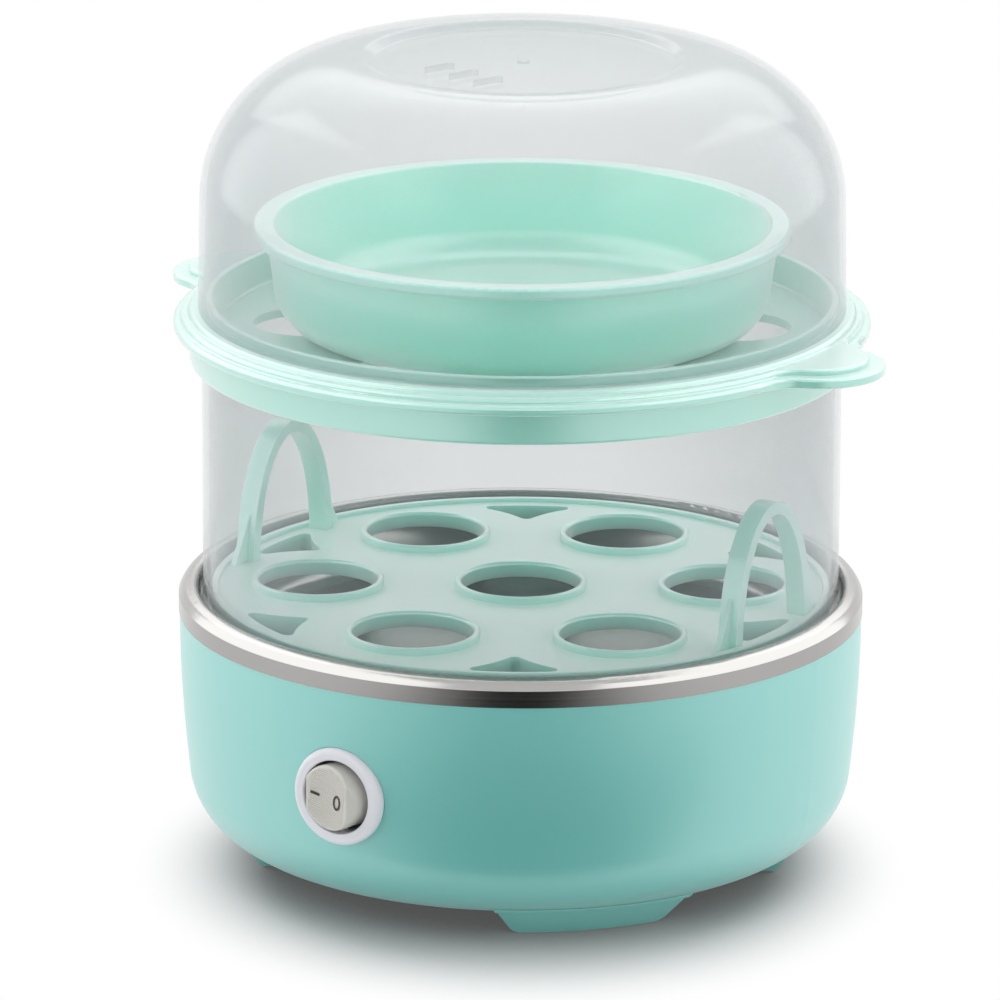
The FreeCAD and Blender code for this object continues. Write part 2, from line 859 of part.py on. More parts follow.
def rocker_spring():
    start_y = plunger_start_y() - spring_length
    outer = stem_bore_r - pin_fit
    spring = along_switch(outer, start_y, plunger_start_y())
    spring = spring.cut(along_switch(outer - spring_wire, start_y, plunger_start_y()))
    return at_rest(spring, V(0, pivot_y, switch_z), -rocker_half_travel)


def rocker_plunger():
    radius = stem_bore_r - pin_fit
    plunger = switch_turned([
        (0, plunger_start_y()),
        (radius, plunger_start_y()),
        (radius, plunger_tip_y, nose_share * radius),
        (0, plunger_tip_y),
    ])
    return at_rest(plunger, V(0, pivot_y, switch_z), -rocker_half_travel)


def contact_bar():
    size = V(contact_length, contact_thickness, contact_width)
    pivot = V(0, contact_y, switch_z)
    bar = block(size, pivot - V(0, contact_thickness / 2, 0))
    half = UP * (contact_width / 2)
    bar = fused([bar, rod(contact_rib_r, pivot - half, pivot + half)])
    return at_rest(bar, pivot, contact_half_travel)


def cord_gland():
    inner_y = pad_y - pad_wall
    face = outline_face([
        (gland_bore_r, inner_y - gland_collar_length, fine_edge),
        (gland_collar_r, inner_y - gland_collar_length, gland_round),
        (gland_collar_r, inner_y),
        (gland_neck_r, inner_y),
        (gland_neck_r, pad_y),
        (gland_flange_r, pad_y),
        (gland_flange_r, pad_y + gland_flange_thickness, gland_round),
        (gland_bore_r, pad_y + gland_flange_thickness, fine_edge),
    ], lambda p: V(p.x, p.y, gland_z))
    return face.revolve(V(0, 0, gland_z), V(0, 1, 0), 360)


def egg_places(circle_r):
    """Middle of the centre hole and of the holes round it."""
    return [ORIGIN] + [polar(circle_r, azimuth) for azimuth in egg_azimuths]


def steam_wedges(grow, z_low, z_high):
    """The openings between neighbouring egg holes, grown outwards by a wall."""
    height = z_high - z_low
    web_r = rack_egg_circle_r / 2 + steam_lap - grow
    wedges = Part.makeCylinder(rack_r - steam_margin + grow, height, V(0, 0, z_low))
    for place in egg_places(rack_egg_circle_r)[1:]:
        wedges = wedges.cut(Part.makeCylinder(web_r, height, place + UP * z_low))
    wedges = wedges.cut(Part.makeCylinder(rack_egg_circle_r, height, V(0, 0, z_low)))
    rounded = []
    for wedge in wedges.Solids:
        corners = [edge for edge in wedge.Edges if edge.BoundBox.ZLength > height / 2]
        rounded.append(wedge.makeFillet(steam_corner + grow, corners))
    return rounded


def egg_collar(hole_r, z_low, z_high):
    return turned([
        (hole_r, z_low),
        (hole_r + collar_wall, z_low),
        (hole_r + collar_wall, z_high, fine_edge),
        (hole_r, z_high, soft_edge),
    ])


def half_ellipse(half_width, height, z_low):
    """Upright half-ellipse face in the YZ plane."""
    long_way = V(0, 0, z_low + height)
    short_way = V(0, half_width, z_low)
    curve = Part.Ellipse(long_way, short_way, V(0, 0, z_low))
    arc = Part.ArcOfEllipse(curve, -math.pi / 2, math.pi / 2).toShape()
    ends = [vertex.Point for vertex in arc.Vertexes]
    return Part.Face(Part.Wire([arc, Part.LineSegment(ends[1], ends[0]).toShape()]))


def rack_handle():
    """Arch handle that stands at +X, with a gusset outside each leg."""
    low_z = rack_top_z - rack_plate / 2
    height = rack_top_z + handle_height - low_z
    half = handle_strip / 2
    start = V(handle_r - handle_width / 2, 0, 0)
    outer = half_ellipse(handle_half_span + half, height, low_z)
    inner = half_ellipse(handle_half_span - half, height - handle_strip, low_z)
    arch = outer.cut(inner)
    arch.translate(start)
    pieces = [arch.extrude(V(handle_width, 0, 0))]
    for side in (1, -1):
        inner_y = side * handle_half_span
        outer_y = side * (handle_half_span + half + gusset_width)
        gusset_top_z = rack_top_z + gusset_height
        corners = [(inner_y, low_z), (outer_y, low_z), (outer_y, rack_top_z), (inner_y, gusset_top_z)]
        face = outline_face(corners, lambda p: V(handle_r - gusset_thickness / 2, p.x, p.y))
        pieces.append(face.extrude(V(gusset_thickness, 0, 0)))
    return pieces


def egg_rack():
    plate_low_z = rack_top_z - rack_plate
    lip_z = rack_top_z + rack_lip_height
    plate = turned([
        (0, plate_low_z),
        (rack_r - rack_skirt_wall, plate_low_z),
        (rack_r - rack_skirt_wall, ledge_z),
        (rack_r, ledge_z),
        (rack_r, lip_z, fine_edge),
        (rack_r - rack_lip_width, lip_z, fine_edge),
        (rack_r - rack_lip_width, rack_top_z),
        (0, rack_top_z),
    ])
    pieces = [plate]
    collar = egg_collar(rack_egg_hole_r, plate_low_z, rack_top_z + collar_height)
    for place in egg_places(rack_egg_circle_r):
        pieces.append(collar.translated(place))
    pieces += steam_wedges(steam_wall, rack_top_z - steam_wall_depth, rack_top_z)
    rack = fused(pieces)
    for place in egg_places(rack_egg_circle_r):
        low = place + UP * (plate_low_z - rack_plate)
        rack = rack.cut(rod(rack_egg_hole_r, low, place + UP * (rack_top_z + rack_plate / 2)))
    for wedge in steam_wedges(0, rack_top_z - 2 * steam_wall_depth, rack_top_z + collar_height):
        rack = rack.cut(wedge)
    for azimuth in handle_azimuths:
        for piece in rack_handle():
            rack = rack.fuse(spun(piece, azimuth - 90))
    return rack.removeSplitter()


def chamber_ring():
    foot_z = ledge_z + ring_foot_height
    return turned([
        (ring_bore_r, ledge_z, fine_edge),
        (ring_foot_r, ledge_z, fine_edge),
        (ring_foot_r, foot_z, fine_edge),
        (ring_r, foot_z + ring_foot_bead, soft_edge),
        (ring_r, ring_top_z, fine_edge),
        (ring_bore_r, ring_top_z, fine_edge),
    ])


def tab_plate(edge_r, reach, tip_round, z_low, z_high):
    """Finger tab at +X that blends into a round edge of radius edge_r."""
    tip_r = edge_r + reach
    tip_centre = V(tip_r - tip_round, 0, z_low)
    blend_from_axis = edge_r + tab_blend
    blend_from_tip = tip_round + tab_blend
    along = (blend_from_axis ** 2 + tip_centre.x ** 2 - blend_from_tip ** 2) / (2 * tip_centre.x)
    across = math.sqrt(blend_from_axis ** 2 - along ** 2)
    sides = []
    for side in (1, -1):
        centre = V(along, side * across, z_low)
        root = V(along, side * across, 0) * (edge_r / blend_from_axis) + UP * z_low
        tip = tip_centre + (centre - tip_centre) * (tip_round / blend_from_tip)
        middle = centre + ((root + tip) * 0.5 - centre).normalize() * tab_blend
        sides.append((root, middle, tip))
    root, middle, tip = sides[0]
    far_root, far_middle, far_tip = sides[1]
    wire = Part.Wire([
        Part.Arc(root, middle, tip).toShape(),
        Part.Arc(tip, V(tip_r, 0, z_low), far_tip).toShape(),
        Part.Arc(far_tip, far_middle, far_root).toShape(),
        Part.LineSegment(far_root, root).toShape(),
    ])
    plate = Part.Face(wire).extrude(V(0, 0, z_high - z_low))
    rim = [edge for edge in plate.Edges if edge.Curve.TypeId == "Part::GeomCircle"]
    return plate.makeFillet(tab_edge, rim)


def steaming_tray():
    skirt_z = ring_top_z - tray_skirt_depth
    step_z = lid_seat_z - tray_step_drop
    edge_z = step_z - tray_edge_drop
    lip_z = lid_seat_z + tray_lip_height
    pieces = [turned([
        (0, tray_bottom_z),
        (tray_spigot_r, tray_bottom_z, soft_edge),
        (tray_spigot_r, ring_top_z),
        (tray_skirt_bore_r, ring_top_z),
        (tray_skirt_bore_r, skirt_z),
        (tray_skirt_r, skirt_z, soft_edge),
        (tray_skirt_r, ring_top_z, soft_edge),
        (tray_edge_r, ring_top_z, soft_edge),
        (tray_edge_r, edge_z, soft_edge),
        (tray_step_r, edge_z, fine_edge),
        (tray_step_r, step_z, soft_edge),
        (tray_seat_r, step_z, fine_edge),
        (tray_seat_r, lid_seat_z, soft_edge),
        (tray_lip_r, lid_seat_z),
        (tray_lip_r, lip_z, fine_edge),
        (tray_lip_r - tray_lip_wall, lip_z, fine_edge),
        (tray_floor_r, tray_floor_z, soft_edge),
        (0, tray_floor_z),
    ])]
    lower = tab_plate(tray_edge_r, tab_reach, tab_round, ring_top_z, edge_z)
    upper = tab_plate(tray_step_r, tab_upper_reach, tab_upper_round, ring_top_z + tab_edge, step_z)
    for azimuth in handle_azimuths:
        pieces.append(spun(lower, azimuth - 90))
        pieces.append(spun(upper, azimuth - 90))
    tray = fused(pieces)
    for place in egg_places(tray_egg_circle_r):
        low = place + UP * (tray_bottom_z - tray_floor)
        tray = tray.cut(rod(tray_egg_hole_r, low, place + UP * (tray_floor_z + tray_floor)))
    return tray


def steaming_bowl():
    rim_z = tray_floor_z + bowl_height
    neck_r = bowl_rim_r - bowl_lip_width
    return turned([
        (0, tray_floor_z),
        (bowl_bottom_r, tray_floor_z, bowl_round),
        (neck_r, rim_z - bowl_lip_height, fine_edge),
        (bowl_rim_r, rim_z - bowl_lip_height, soft_edge),
        (bowl_rim_r, rim_z, soft_edge),
        (neck_r - bowl_wall, rim_z, soft_edge),
        (bowl_bottom_r - bowl_wall, tray_floor_z + bowl_wall, bowl_round - bowl_wall),
        (0, tray_floor_z + bowl_wall),
    ])


def lid_slot(index, z):
    """One steam slot with round ends, slanted by the pattern's azimuth."""
    across = (index - (slot_count - 1) / 2) * slot_pitch
    half = (slot_length - slot_width) / 2
    size = V(slot_width, 2 * half, 2 * lid_wall)
    middle = V(across, -slot_circle_r, z)
    slot = block(size, middle)
    for side in (1, -1):
        end = middle + V(0, side * half, -lid_wall)
        slot = slot.fuse(Part.makeCylinder(slot_width / 2, 2 * lid_wall, end))
    return spun(slot.removeSplitter(), slot_azimuth)


def lid():
    top_z = lid_seat_z + lid_height
    recess_z = top_z - lid_recess_depth
    dome = sheet([
        (lid_r, lid_seat_z),
        (lid_r, lid_seat_z + lid_foot_height, soft_edge),
        (lid_r - lid_draft, top_z, lid_shoulder),
        (lid_recess_r + lid_ridge_slope, top_z, lid_ridge_round),
        (lid_recess_r, recess_z, lid_recess_depth),
        (0, recess_z),
    ], lid_wall)
    gate_low = V(0, 0, recess_z - lid_wall / 2)
    dome = fused([dome, rod(gate_r, gate_low, V(0, 0, recess_z + gate_height))])
    for index in range(slot_count):
        dome = dome.cut(lid_slot(index, recess_z - lid_wall / 2))
    return dome


NODES = {
    "base_housing": base_housing,
    "bottom_cover": bottom_cover,
    "cover_screws": cover_screws,
    "pan_posts": pan_posts,
    "heating_pan": heating_pan,
    "pan_gasket": pan_gasket,
    "heater_plate": heater_plate,
    "heating_tube": heating_tube,
    "heater_beads": heater_beads,
    "heater_pins": heater_pins,
    "thermostat": thermostat,
    "thermostat_terminals": thermostat_terminals,
    "thermostat_screws": thermostat_screws,
    "thermal_fuse": thermal_fuse,
    "fuse_clip": fuse_clip,
    "fuse_screw": fuse_screw,
    "switch_lead": switch_lead,
    "thermostat_lead": thermostat_lead,
    "fuse_lead": fuse_lead,
    "switch_body": switch_body,
    "switch_terminals": switch_terminals,
    "switch_lamp": switch_lamp,
    "switch_rocker": switch_rocker,
    "rocker_spring": rocker_spring,
    "rocker_plunger": rocker_plunger,
    "contact_bar": contact_bar,
    "cord_gland": cord_gland,
    "egg_rack": egg_rack,
    "chamber_ring": chamber_ring,
    "steaming_tray": steaming_tray,
    "steaming_bowl": steaming_bowl,
    "lid": lid,
}

os.makedirs("parts", exist_ok=True)
for name, make in NODES.items():
    shape = make()
    if isinstance(shape, list):
        shape = Part.makeCompound(shape)
    shape.exportStep("parts/" + name + ".step")
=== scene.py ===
import math

import bpy
from mathutils import Matrix, Vector


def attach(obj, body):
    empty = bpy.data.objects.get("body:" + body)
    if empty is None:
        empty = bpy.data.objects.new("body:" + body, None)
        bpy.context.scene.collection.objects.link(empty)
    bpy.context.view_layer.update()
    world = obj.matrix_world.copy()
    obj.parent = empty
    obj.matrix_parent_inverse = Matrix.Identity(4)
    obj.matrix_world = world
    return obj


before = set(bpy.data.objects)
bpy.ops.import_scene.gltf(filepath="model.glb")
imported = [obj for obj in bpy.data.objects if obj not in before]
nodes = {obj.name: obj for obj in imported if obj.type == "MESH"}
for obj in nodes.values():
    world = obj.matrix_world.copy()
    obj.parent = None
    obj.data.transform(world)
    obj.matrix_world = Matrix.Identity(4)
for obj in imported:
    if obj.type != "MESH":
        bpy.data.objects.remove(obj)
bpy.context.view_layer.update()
scene = bpy.context.scene

MM = 0.001
MIDDLE = Vector((0, 0, 0.100))  # what the camera and the lamps point at
VIEW_AZIMUTH = 31.3  # degrees from the front towards +X


# Camera at the photograph's viewing angle

def direction(azimuth, elevation):
    """Unit vector away from the object, for angles in degrees with azimuth 0 at the front."""
    a, e = math.radians(azimuth), math.radians(elevation)
    return Vector((math.sin(a) * math.cos(e), -math.cos(a) * math.cos(e), math.sin(e)))


def add_camera(azimuth, elevation, distance, lens, drift_right, drift_up, roll):
    """Camera that faces the object, with its aim moved sideways and up in the picture."""
    a = math.radians(azimuth)
    back = direction(azimuth, elevation)
    right = Vector((math.cos(a), math.sin(a), 0))
    up = back.cross(right)
    place = MIDDLE + back * distance
    aim = MIDDLE + right * drift_right + up * drift_up
    data = bpy.data.cameras.new("camera")
    data.sensor_width = 36
    data.lens = lens
    data.clip_start = 0.05
    data.clip_end = 50
    camera = bpy.data.objects.new("camera", data)
    turn = (aim - place).to_track_quat("-Z", "Y").to_matrix()
    turn = turn @ Matrix.Rotation(math.radians(roll), 3, "Z")
    camera.matrix_world = Matrix.Translation(place) @ turn.to_4x4()
    scene.collection.objects.link(camera)
    scene.camera = camera


add_camera(VIEW_AZIMUTH, elevation=15.8, distance=2.0, lens=296.7,
           drift_right=-0.00513, drift_up=-0.01081, roll=0.25)


# Material building blocks

def srgb(red, green, blue):
    """Linear colour from 0 to 255 values."""
    def linear(value):
        value /= 255
        return value / 12.92 if value <= 0.04045 else ((value + 0.055) / 1.055) ** 2.4
    return (linear(red), linear(green), linear(blue), 1.0)


def fill(tree, node, values=(), links=()):
    """Set a node's constant inputs and link the others."""
    for name, value in dict(values).items():
        node.inputs[name].default_value = value
    for name, source in dict(links).items():
        tree.links.new(source, node.inputs[name])


def add_node(tree, kind, values=(), links=(), **settings):
    """Node with its settings, constant inputs and linked inputs."""
    node = tree.nodes.new(kind)
    for name, value in settings.items():
        setattr(node, name, value)
    fill(tree, node, values, links)
    return node


def new_material(name):
    material = bpy.data.materials.new(name)
    material.use_nodes = True
    tree = material.node_tree
    return material, tree, tree.nodes["Principled BSDF"]


def show(tree, shader, output="Material Output"):
    """Make a shader the surface of its material or world."""
    tree.links.new(shader, tree.nodes[output].inputs["Surface"])


def place_coordinates(tree):
    """Place on the object, in metres."""
    return add_node(tree, "ShaderNodeTexCoord").outputs["Object"]


def separate(tree, vector):
    return add_node(tree, "ShaderNodeSeparateXYZ", links={"Vector": vector}).outputs


def combine(tree, x, y):
    return add_node(tree, "ShaderNodeCombineXYZ", links={"X": x, "Y": y}).outputs["Vector"]


def length(tree, vector):
    return add_node(tree, "ShaderNodeVectorMath", links={0: vector}, operation="LENGTH").outputs["Value"]


def calculate(tree, operation, *sources):
    node = add_node(tree, "ShaderNodeMath", links=enumerate(sources), operation=operation)
    return node.outputs["Value"]


def noise(tree, vector, scale, detail):
    """Noise whose scale is in bumps per metre."""
    node = add_node(tree, "ShaderNodeTexNoise", {"Scale": scale, "Detail": detail}, {"Vector": vector})
    return node.outputs["Fac"]


def ramp(tree, factor, low, high):
    """Map 0 to 1 onto low to high."""
    node = add_node(tree, "ShaderNodeMapRange", {"To Min": low, "To Max": high}, {"Value": factor})
    return node.outputs["Result"]


def soft_step(tree, value, start, end, low, high):
    """Pass smoothly from low to high while a value goes from start to end."""
    limits = {"From Min": start, "From Max": end, "To Min": low, "To Max": high}
    node = add_node(tree, "ShaderNodeMapRange", limits, {"Value": value}, interpolation_type="SMOOTHSTEP")
    return node.outputs["Result"]


def blend_colours(tree, factor, first, second):
    node = add_node(tree, "ShaderNodeMix", {"A": first, "B": second}, {"Factor": factor}, data_type="RGBA")
    return node.outputs["Result"]


def mix_shaders(tree, factor, first, second):
    return add_node(tree, "ShaderNodeMixShader", links={"Fac": factor, 1: first, 2: second}).outputs["Shader"]


def bump(tree, height, distance, strength):
    node = add_node(tree, "ShaderNodeBump", {"Distance": distance, "Strength": strength}, {"Height": height})
    return node.outputs["Normal"]


def dress(material, *names):
    """Give nodes of the part one material."""
    for name in names:
        data = nodes[name].data
        data.materials.clear()
        data.materials.append(material)


# Plastics

CLOUD_SCALE = 14  # uneven colour, bumps per metre
GLOSS_SCALE = 45  # uneven gloss, bumps per metre
GLOSS_SPREAD = 0.05
GRAIN_DEPTH = 0.00004
SHEEN_ROUGHNESS = 0.6
SCATTER_RADIUS = (0.6, 1.0, 0.85)
SCATTER_SCALE = 0.004


def moulded_plastic(name, pale, deep, roughness, grain=2600, relief=0.15,
                    subsurface=0.0, coat=0.0, coat_ior=2.0, sheen=0.0):
    """Satin moulded plastic: slightly uneven colour and gloss, and a very fine mould grain."""
    material, tree, shader = new_material(name)
    place = place_coordinates(tree)
    colour = blend_colours(tree, noise(tree, place, CLOUD_SCALE, 3), deep, pale)
    gloss = ramp(tree, noise(tree, place, GLOSS_SCALE, 4), roughness - GLOSS_SPREAD, roughness + GLOSS_SPREAD)
    normal = bump(tree, noise(tree, place, grain, 3), GRAIN_DEPTH, relief)
    constants = {"Specular IOR Level": 0.5 + coat / 2, "Coat Weight": coat, "Coat IOR": coat_ior,
                 "Coat Roughness": roughness, "Sheen Weight": sheen, "Sheen Roughness": SHEEN_ROUGHNESS}
    if subsurface:
        constants.update({"Subsurface Weight": subsurface, "Subsurface Radius": SCATTER_RADIUS,
                          "Subsurface Scale": SCATTER_SCALE})
    fill(tree, shader, constants, {"Base Color": colour, "Roughness": gloss, "Normal": normal})
    return material


aqua = moulded_plastic("aqua_plastic", srgb(62, 187, 179), srgb(56, 182, 173), 0.42,
                       coat=1.0, coat_ior=2.5, sheen=0.3)
# The mint plastic comes in two copies whose colours stand in for light: the bowl and rack get the lighter
# one, painted brighter against the shade of the clear lid and ring over them, and the tray gets the darker
# one, painted shade on its strongly lit skirt.
lightened_mint = moulded_plastic("mint_plastic", srgb(188, 252, 232), srgb(181, 248, 227), 0.24,
                       subsurface=0.8, coat=1.0, sheen=1.0)
darkened_mint = moulded_plastic("darkened_mint_plastic", srgb(136, 213, 197), srgb(129, 208, 191), 0.24,
                            subsurface=0.3, coat=1.0, coat_ior=2.6, sheen=0.9)
dress(aqua, "base_housing", "bottom_cover")
dress(lightened_mint, "steaming_bowl", "egg_rack")
dress(darkened_mint, "steaming_tray")


HAZE_SCALE = 18  # uneven haze, bumps per metre
CLEAR_SCALE = 60  # uneven gloss of the clear pieces, bumps per metre
CLEAR_GLOSS = (0.13, 0.2)
CLEAR_COAT = {"Coat Weight": 1, "Coat IOR": 1.7, "Coat Roughness": 0.12}
EDGE_BLEND = 0.28


def clear_plastic(name, pale, deep, tint, square_on, edge_on, in_shadow):
    """Thin clear plastic: a grey haze grows from square_on to edge_on, and the lamps shine through it."""
    material, tree, shader = new_material(name)
    place = place_coordinates(tree)
    haze = blend_colours(tree, noise(tree, place, HAZE_SCALE, 3), deep, pale)
    gloss = ramp(tree, noise(tree, place, CLEAR_SCALE, 3), *CLEAR_GLOSS)
    fill(tree, shader, CLEAR_COAT, {"Base Color": haze, "Roughness": gloss})
    clear = add_node(tree, "ShaderNodeBsdfTransparent", {"Color": tint})
    edge = add_node(tree, "ShaderNodeLayerWeight", {"Blend": EDGE_BLEND})
    light = add_node(tree, "ShaderNodeLightPath")
    share = calculate(tree, "MULTIPLY", ramp(tree, edge.outputs["Facing"], square_on, edge_on),
                      ramp(tree, light.outputs["Is Shadow Ray"], 1, in_shadow))
    show(tree, mix_shaders(tree, share, clear.outputs["BSDF"], shader.outputs["BSDF"]))
    return material


frosted = clear_plastic("frosted_clear", srgb(186, 191, 195), srgb(180, 186, 190), (0.963, 0.965, 0.966, 1),
                        square_on=0.06, edge_on=0.65, in_shadow=0.1)
dress(frosted, "lid", "chamber_ring")


# Metals

METAL_DEPTH = 0.00002  # of turning lines and of plating
LINE_SPREAD = (0.06, 0.08)  # smoother and rougher than the mean
PLATING_SPREAD = (0.08, 0.1)
PLATING_RELIEF = 0.15


def bare_metal(tree, shader, colour, pattern, roughness, spread, relief):
    """Metal whose gloss and surface follow a pattern."""
    gloss = ramp(tree, pattern, roughness - spread[0], roughness + spread[1])
    normal = bump(tree, pattern, METAL_DEPTH, relief)
    fill(tree, shader, {"Base Color": colour, "Metallic": 1}, {"Roughness": gloss, "Normal": normal})


def spun_metal(name, colour, roughness, lines, relief):
    """Metal with fine turning lines round the Z axis."""
    material, tree, shader = new_material(name)
    parts = separate(tree, place_coordinates(tree))
    radius = length(tree, combine(tree, parts["X"], parts["Y"]))
    streaks = noise(tree, combine(tree, radius, parts["Z"]), lines, 3)
    bare_metal(tree, shader, colour, streaks, roughness, LINE_SPREAD, relief)
    return material


def plain_metal(name, colour, roughness, grain):
    """Metal with an uneven surface from plating or casting."""
    material, tree, shader = new_material(name)
    cloud = noise(tree, place_coordinates(tree), grain, 4)
    bare_metal(tree, shader, colour, cloud, roughness, PLATING_SPREAD, PLATING_RELIEF)
    return material


dress(spun_metal("stainless_steel", srgb(172, 171, 169), 0.2, lines=4200, relief=0.08), "heating_pan")
# Smooths the look of the pan's rim
even = nodes["heating_pan"].modifiers.new("even_shading", "WEIGHTED_NORMAL")
even.keep_sharp = True
dress(spun_metal("cast_aluminium", srgb(190, 190, 190), 0.45, lines=900, relief=0.3), "heater_plate")
dress(plain_metal("screw_steel", srgb(196, 197, 200), 0.3, grain=700),
      "cover_screws", "pan_posts", "thermostat_screws", "fuse_clip", "fuse_screw", "rocker_spring")
dress(plain_metal("tube_steel", srgb(150, 147, 143), 0.4, grain=500), "heating_tube", "heater_pins")
dress(plain_metal("brass", srgb(212, 178, 110), 0.3, grain=700),
      "thermostat_terminals", "switch_terminals", "contact_bar")
dress(plain_metal("fuse_case", srgb(200, 196, 184), 0.3, grain=700), "thermal_fuse")


# Switch and inner pieces

dress(moulded_plastic("white_plastic", srgb(226, 227, 233), srgb(219, 220, 227), 0.3),
      "switch_body", "rocker_plunger")
rocker_white = moulded_plastic("rocker_plastic", srgb(206, 205, 198), srgb(196, 195, 188), 0.3,
                               subsurface=0.2)
dress(rocker_white, "switch_rocker")
dress(moulded_plastic("phenolic", srgb(58, 48, 42), srgb(48, 40, 35), 0.5), "thermostat")
dress(moulded_plastic("ceramic_white", srgb(240, 238, 231), srgb(230, 227, 219), 0.55,
                      grain=1200, relief=0.3), "heater_beads")
dress(moulded_plastic("silicone", srgb(236, 236, 232), srgb(228, 228, 224), 0.6), "pan_gasket")
dress(moulded_plastic("gland_rubber", srgb(230, 232, 232), srgb(222, 224, 225), 0.5), "cord_gland")
dress(moulded_plastic("lead_sleeve", srgb(240, 238, 228), srgb(231, 228, 217), 0.6),
      "switch_lead", "thermostat_lead", "fuse_lead")


GLASS_SCALE = 900  # uneven tint, bumps per metre


def tinted_glass(name, pale, deep, roughness, alpha):
    material, tree, shader = new_material(name)
    tint = blend_colours(tree, noise(tree, place_coordinates(tree), GLASS_SCALE, 2), deep, pale)
    fill(tree, shader, {"Roughness": roughness, "Alpha": alpha}, {"Base Color": tint})
    return material


dress(tinted_glass("lamp_glass", srgb(247, 222, 204), srgb(240, 205, 180), roughness=0.05, alpha=0.6),
      "switch_lamp")


# Ribs and marks on the rocker's face, in millimetres

SWITCH_Z = 36.0  # height of the switch's axis
PIVOT_Y = -80.0  # the rocker's pin
FACE_Y = -85.5  # middle of the face while the rocker stands straight
DISH_R = 30.0  # radius of the dished face
REST_TURN = math.radians(-12)  # the rocker's turn at rest
MARK_ROLL = math.radians(-8)  # roll of the ribs and marks on the face
RIB_FOOT = 0.3  # half width of a rib's foot, in pitches
RIB_TOP = 0.12  # half width of a rib's top, in pitches
RIB_SUNK = 0.05  # depth of a rib's foot in the face
MARK_LIFT = 0.16  # height of the marks above the face


def turned(first, second, angle):
    """Turn a pair of coordinates."""
    return (first * math.cos(angle) - second * math.sin(angle),
            first * math.sin(angle) + second * math.cos(angle))


def rocker_point(across, rise, lift):
    """Point above the rocker's dished face, in metres, for a place on the face in millimetres."""
    x, z = turned(across, rise, MARK_ROLL)
    y = FACE_Y - DISH_R + math.sqrt(DISH_R ** 2 - x ** 2) - lift - PIVOT_Y
    x, y = turned(x, y, REST_TURN)
    return (x * MM, (y + PIVOT_Y) * MM, (z + SWITCH_Z) * MM)


def add_on_rocker(name, points, faces, material):
    """Piece that turns with the rocker."""
    mesh = bpy.data.meshes.new(name)
    mesh.from_pydata(points, [], faces)
    mesh.materials.append(material)
    piece = bpy.data.objects.new(name, mesh)
    scene.collection.objects.link(piece)
    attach(piece, "rocker")


def strip(rows, closed):
    """Faces between rows of points laid along a strip."""
    faces = []
    width = len(rows[0])
    steps = len(rows) if closed else len(rows) - 1
    for i in range(steps):
        here, there = i * width, (i + 1) % len(rows) * width
        for k in range(width - 1):
            faces.append((here + k, here + k + 1, there + k + 1, there + k))
    return faces


def rocker_ribs(face_r, face_half, pitch, height, steps):
    """Fine ribs across the rocker's round face, which is cut off at its two ends."""
    points, faces = [], []
    count = int(face_r / pitch)
    section = ((-RIB_FOOT, -RIB_SUNK), (-RIB_TOP, height), (RIB_TOP, height), (RIB_FOOT, -RIB_SUNK))
    for index in range(-count, count + 1):
        rise = index * pitch
        half = min(math.sqrt(face_r ** 2 - rise ** 2), face_half)
        rows = []
        for i in range(steps + 1):
            across = half * (2 * i / steps - 1)
            rows.append([rocker_point(across, rise + side * pitch, lift) for side, lift in section])
        start = len(points)
        points += [point for row in rows for point in row]
        faces += [tuple(start + corner for corner in face) for face in strip(rows, closed=False)]
    return points, faces


def mark_stroke(path, half_width, closed):
    """Flat stroke along a path of (across, rise, sideways) places, where sideways points off the path."""
    rows = []
    for across, rise, side in path:
        low = rocker_point(across - side[0] * half_width, rise - side[1] * half_width, MARK_LIFT)
        high = rocker_point(across + side[0] * half_width, rise + side[1] * half_width, MARK_LIFT)
        rows.append([low, high])
    return [point for row in rows for point in row], strip(rows, closed)


def oval(centre, half_width, half_height, steps):
    """Closed path for mark_stroke."""
    path = []
    for i in range(steps):
        angle = 2 * math.pi * i / steps
        side = (math.cos(angle), math.sin(angle))
        path.append((centre + half_width * side[0], half_height * side[1], side))
    return path


def dash(centre, half_length, steps):
    """Straight path for mark_stroke, across the face."""
    return [(centre + half_length * (2 * i / steps - 1), 0, (0, 1)) for i in range(steps + 1)]


ribs = rocker_ribs(face_r=7.2, face_half=5.6, pitch=0.55, height=0.1, steps=24)
on_stroke = mark_stroke(dash(-3.9, half_length=1.35, steps=8), half_width=0.32, closed=False)
off_stroke = mark_stroke(oval(3.2, half_width=1.0, half_height=1.6, steps=48), half_width=0.29, closed=True)
ink = moulded_plastic("mark_ink", srgb(34, 36, 38), srgb(28, 30, 32), 0.5)
add_on_rocker("rocker_ribs", *ribs, rocker_white)
add_on_rocker("on_mark", *on_stroke, ink)
add_on_rocker("off_mark", *off_stroke, ink)


# Stage: world, floor, card and lamps

WHITE = (1, 1, 1, 1)
FLOOR_GREY = (0.92, 0.92, 0.92, 1)
SHADE_REACH = 0.06
CARD_HEIGHT = 0.001


def seen_or_lit(tree, seen, lit):
    """One shader for what is seen, also in reflections and through clear pieces, and another for the rest."""
    path = add_node(tree, "ShaderNodeLightPath").outputs
    sight = path["Is Camera Ray"]
    for name in ("Is Glossy Ray", "Is Transmission Ray"):
        sight = calculate(tree, "MAXIMUM", sight, path[name])
    return mix_shaders(tree, sight, lit, seen)


def add_world(level):
    """World that is white to look at and lights the object at a level."""
    world = bpy.data.worlds.new("studio")
    world.use_nodes = True
    tree = world.node_tree
    lit = tree.nodes["Background"]
    fill(tree, lit, {"Color": WHITE, "Strength": level})
    seen = add_node(tree, "ShaderNodeBackground", {"Color": WHITE, "Strength": 1})
    show(tree, seen_or_lit(tree, seen.outputs["Background"], lit.outputs["Background"]), "World Output")
    scene.world = world


